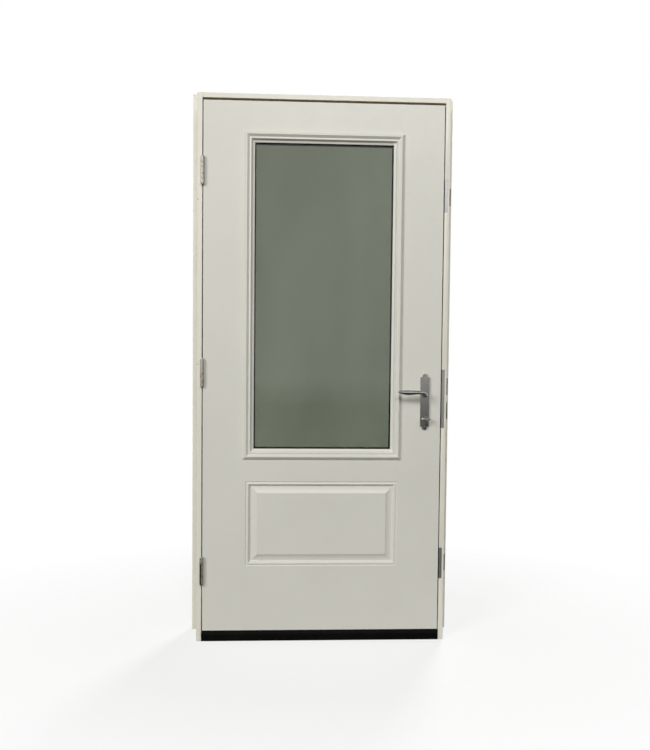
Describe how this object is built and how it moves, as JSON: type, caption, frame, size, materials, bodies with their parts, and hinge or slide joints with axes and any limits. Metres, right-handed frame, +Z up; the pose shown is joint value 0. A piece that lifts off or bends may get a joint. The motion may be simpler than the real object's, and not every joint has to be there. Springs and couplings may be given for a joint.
{
  "type": "glazed entry door in its frame",
  "caption": "White inswing entry door hung in its frame, with a tall moulded glass lite over a raised panel, butt hinges, lever handle and multipoint lock",
  "frame": {"origin": "on the underside of the sill at floor level, half way between the jambs and at the middle of the jamb depth", "axes": "+X to the lock side seen from the room, +Y out of the room through the closed leaf, +Z up"},
  "size_m": [1.0166, 0.2055, 2.1078],
  "materials": {
    "leaf_paint": "factory painted smooth moulded skin, warm white",
    "lite_moulding": "moulded frame, warm white",
    "frame_paint": "primed and painted wood, warm white",
    "raw_wood": "painted edge",
    "foam": "rigid foam",
    "glass": "clear, grey-green",
    "dark_plastic": "black moulded",
    "cap_plastic": "dark grey",
    "black_rubber": "soft, matt",
    "deck_metal": "dark anodised",
    "hinge_steel": "dull nickel, a little grimy",
    "satin_nickel": "satin nickel",
    "zinc_steel": "zinc plated"
  },
  "bodies": {
    "frame": {"hinge_jamb": "frame_paint", "strike_jamb": "frame_paint", "head_jamb": "frame_paint", "brickmould_hinge_side": "frame_paint", "brickmould_strike_side": "frame_paint", "brickmould_head": "frame_paint", "sill_base": "dark_plastic", "sill_deck": "deck_metal", "threshold_cap": "cap_plastic", "threshold_screws": "zinc_steel", "weatherstrip_hinge_side": "black_rubber", "weatherstrip_strike_side": "black_rubber", "weatherstrip_head": "black_rubber", "corner_pads": "black_rubber", "hinge_top_frame_leaf": "hinge_steel", "hinge_middle_frame_leaf": "hinge_steel", "hinge_bottom_frame_leaf": "hinge_steel", "hinge_pins": "hinge_steel", "frame_screws": "zinc_steel", "strike_top": "zinc_steel", "strike_centre": "zinc_steel", "strike_bottom": "zinc_steel", "dust_boxes": "dark_plastic"},
    "door_leaf": {"interior_skin": "leaf_paint", "exterior_skin": "leaf_paint", "hinge_stile": "raw_wood", "lock_stile": "raw_wood", "top_rail": "raw_wood", "bottom_rail": "raw_wood", "foam_core": "foam", "lite_frame_interior": "lite_moulding", "lite_frame_exterior": "lite_moulding", "glass_interior": "glass", "glass_exterior": "glass", "glass_spacer": "dark_plastic", "glazing_tape": "black_rubber", "door_sweep": "black_rubber", "hinge_top_door_leaf": "hinge_steel", "hinge_middle_door_leaf": "hinge_steel", "hinge_bottom_door_leaf": "hinge_steel", "leaf_screws": "zinc_steel", "lock_faceplate": "zinc_steel", "lock_case": "zinc_steel", "tongue_cases": "zinc_steel", "backplate_interior": "satin_nickel", "backplate_exterior": "satin_nickel", "backplate_screws": "satin_nickel", "key_cylinder": "satin_nickel"},
    "lever": {"lever_interior": "satin_nickel", "lever_exterior": "satin_nickel", "spindle": "zinc_steel", "lock_follower": "zinc_steel"},
    "thumb_turn": {"thumb_turn": "satin_nickel"},
    "latch": {"latch_bolt": "zinc_steel"},
    "deadbolt": {"deadbolt": "zinc_steel"},
    "tongue_top": {"tongue_top": "zinc_steel"},
    "tongue_bottom": {"tongue_bottom": "zinc_steel"},
    "drive_rod_upper": {"drive_rod_upper": "zinc_steel"},
    "drive_rod_lower": {"drive_rod_lower": "zinc_steel"}
  },
  "joints": [
    {"name": "door_swing", "type": "hinge", "parent": "frame", "child": "door_leaf", "pos_m": [-0.45575, -0.0655, 1.0315], "axis": [0, 0, -1], "range_deg": [0, 170]},
    {"name": "lever_press", "type": "hinge", "parent": "door_leaf", "child": "lever", "pos_m": [0.392, -0.03575, 0.954], "axis": [0, -1, 0], "range_deg": [0, 45], "stiffness_Nm_per_rad": 1.2, "springref_deg": -45.84},
    {"name": "latch_slide", "type": "slide", "parent": "door_leaf", "child": "latch", "axis": [-1, 0, 0], "range_m": [0, 0.0128]},
    {"name": "turn_lock", "type": "hinge", "parent": "door_leaf", "child": "thumb_turn", "pos_m": [0.392, -0.03575, 0.862], "axis": [0, -1, 0], "range_deg": [0, 90]},
    {"name": "deadbolt_slide", "type": "slide", "parent": "door_leaf", "child": "deadbolt", "axis": [1, 0, 0], "range_m": [0, 0.0252]},
    {"name": "tongue_top_slide", "type": "slide", "parent": "door_leaf", "child": "tongue_top", "axis": [1, 0, 0], "range_m": [0, 0.0202]},
    {"name": "tongue_bottom_slide", "type": "slide", "parent": "door_leaf", "child": "tongue_bottom", "axis": [1, 0, 0], "range_m": [0, 0.0202]},
    {"name": "rod_upper_slide", "type": "slide", "parent": "door_leaf", "child": "drive_rod_upper", "axis": [0, 0, 1], "range_m": [0, 0.0202]},
    {"name": "rod_lower_slide", "type": "slide", "parent": "door_leaf", "child": "drive_rod_lower", "axis": [0, 0, -1], "range_m": [0, 0.0202]}
  ],
  "couplings": [
    {"joint": "latch_slide", "follows": "lever_press", "m_per_rad": 0.01617},
    {"joint": "deadbolt_slide", "follows": "turn_lock", "m_per_rad": 0.015915},
    {"joint": "tongue_top_slide", "follows": "turn_lock", "m_per_rad": 0.012732},
    {"joint": "tongue_bottom_slide", "follows": "turn_lock", "m_per_rad": 0.012732},
    {"joint": "rod_upper_slide", "follows": "turn_lock", "m_per_rad": 0.012732},
    {"joint": "rod_lower_slide", "follows": "turn_lock", "m_per_rad": 0.012732}
  ]
}
